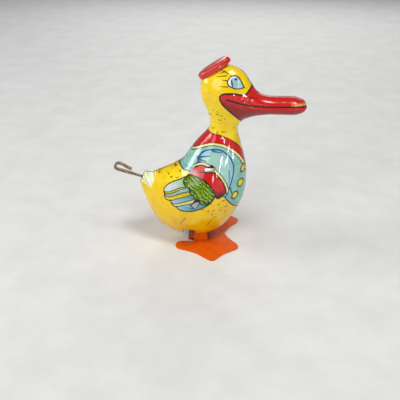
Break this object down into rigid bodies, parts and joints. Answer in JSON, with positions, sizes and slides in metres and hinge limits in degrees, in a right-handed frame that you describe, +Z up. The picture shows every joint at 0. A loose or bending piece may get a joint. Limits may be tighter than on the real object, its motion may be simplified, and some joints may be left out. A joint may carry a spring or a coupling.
{
  "type": "wind-up hopping duck",
  "caption": "Small lithographed tin duck that hops: a wire key in the tail winds a spring motor whose cam kicks a pair of joined webbed feet about a hinge pin under the belly",
  "frame": {"origin": "on the floor under the middle of the box, between the feet", "axes": "+X towards the bill, +Y towards the duck's left, +Z up"},
  "size_m": [0.0972, 0.0572, 0.0974],
  "materials": {
    "body_litho": "lithographed tinplate under clear gloss varnish",
    "cap_red": "glossy red enamel, worn at the rim",
    "feet_orange": "orange enamel, worn at the edges",
    "key_wire": "bare steel wire with brown rust",
    "frame_steel": "bare stamped sheet",
    "turned_steel": "turned and cut steel",
    "spring_steel": "blued spring steel",
    "gear_brass": "stamped brass"
  },
  "bodies": {
    "duck": {"right_shell": "body_litho", "left_shell": "body_litho", "cap": "cap_red", "front_plate": "frame_steel", "rear_plate": "frame_steel", "pillar_top": "turned_steel", "pillar_left": "turned_steel", "pillar_right": "turned_steel", "mainspring": "spring_steel", "foot_axle": "turned_steel", "return_spring": "spring_steel"},
    "key_train": {"winding_key": "key_wire", "arbor": "turned_steel", "main_gear": "gear_brass", "ratchet_wheel": "turned_steel", "click": "turned_steel", "click_pin": "turned_steel"},
    "second_train": {"second_shaft": "turned_steel", "second_pinion": "turned_steel", "second_gear": "gear_brass"},
    "kick_train": {"kick_shaft": "turned_steel", "kick_pinion": "turned_steel", "kick_cam": "turned_steel"},
    "foot_assembly": {"feet": "feet_orange", "kick_lever": "frame_steel", "rivet_left": "turned_steel", "rivet_right": "turned_steel"}
  },
  "joints": [
    {"name": "key_turn", "type": "hinge", "parent": "duck", "child": "key_train", "pos_m": [-0.0343, 0, 0.0333], "axis": [0.9063, 0, -0.4226], "continuous": true},
    {"name": "second_shaft_turn", "type": "hinge", "parent": "duck", "child": "second_train", "pos_m": [-0.03732, 0.007, 0.02683], "axis": [0.9063, 0, -0.4226], "continuous": true},
    {"name": "kick_shaft_turn", "type": "hinge", "parent": "duck", "child": "kick_train", "pos_m": [-0.03895, 0, 0.02333], "axis": [0.9063, 0, -0.4226], "continuous": true},
    {"name": "foot_kick", "type": "hinge", "parent": "duck", "child": "foot_assembly", "pos_m": [-0.003, 0, 0.01], "axis": [0, 1, 0], "range_deg": [0, 15], "stiffness_Nm_per_rad": 0.02, "springref_deg": -20.05, "deforming": ["return_spring"]}
  ],
  "couplings": [
    {"joint": "second_shaft_turn", "follows": "key_turn", "ratio": -4},
    {"joint": "kick_shaft_turn", "follows": "key_turn", "ratio": 12}
  ]
}
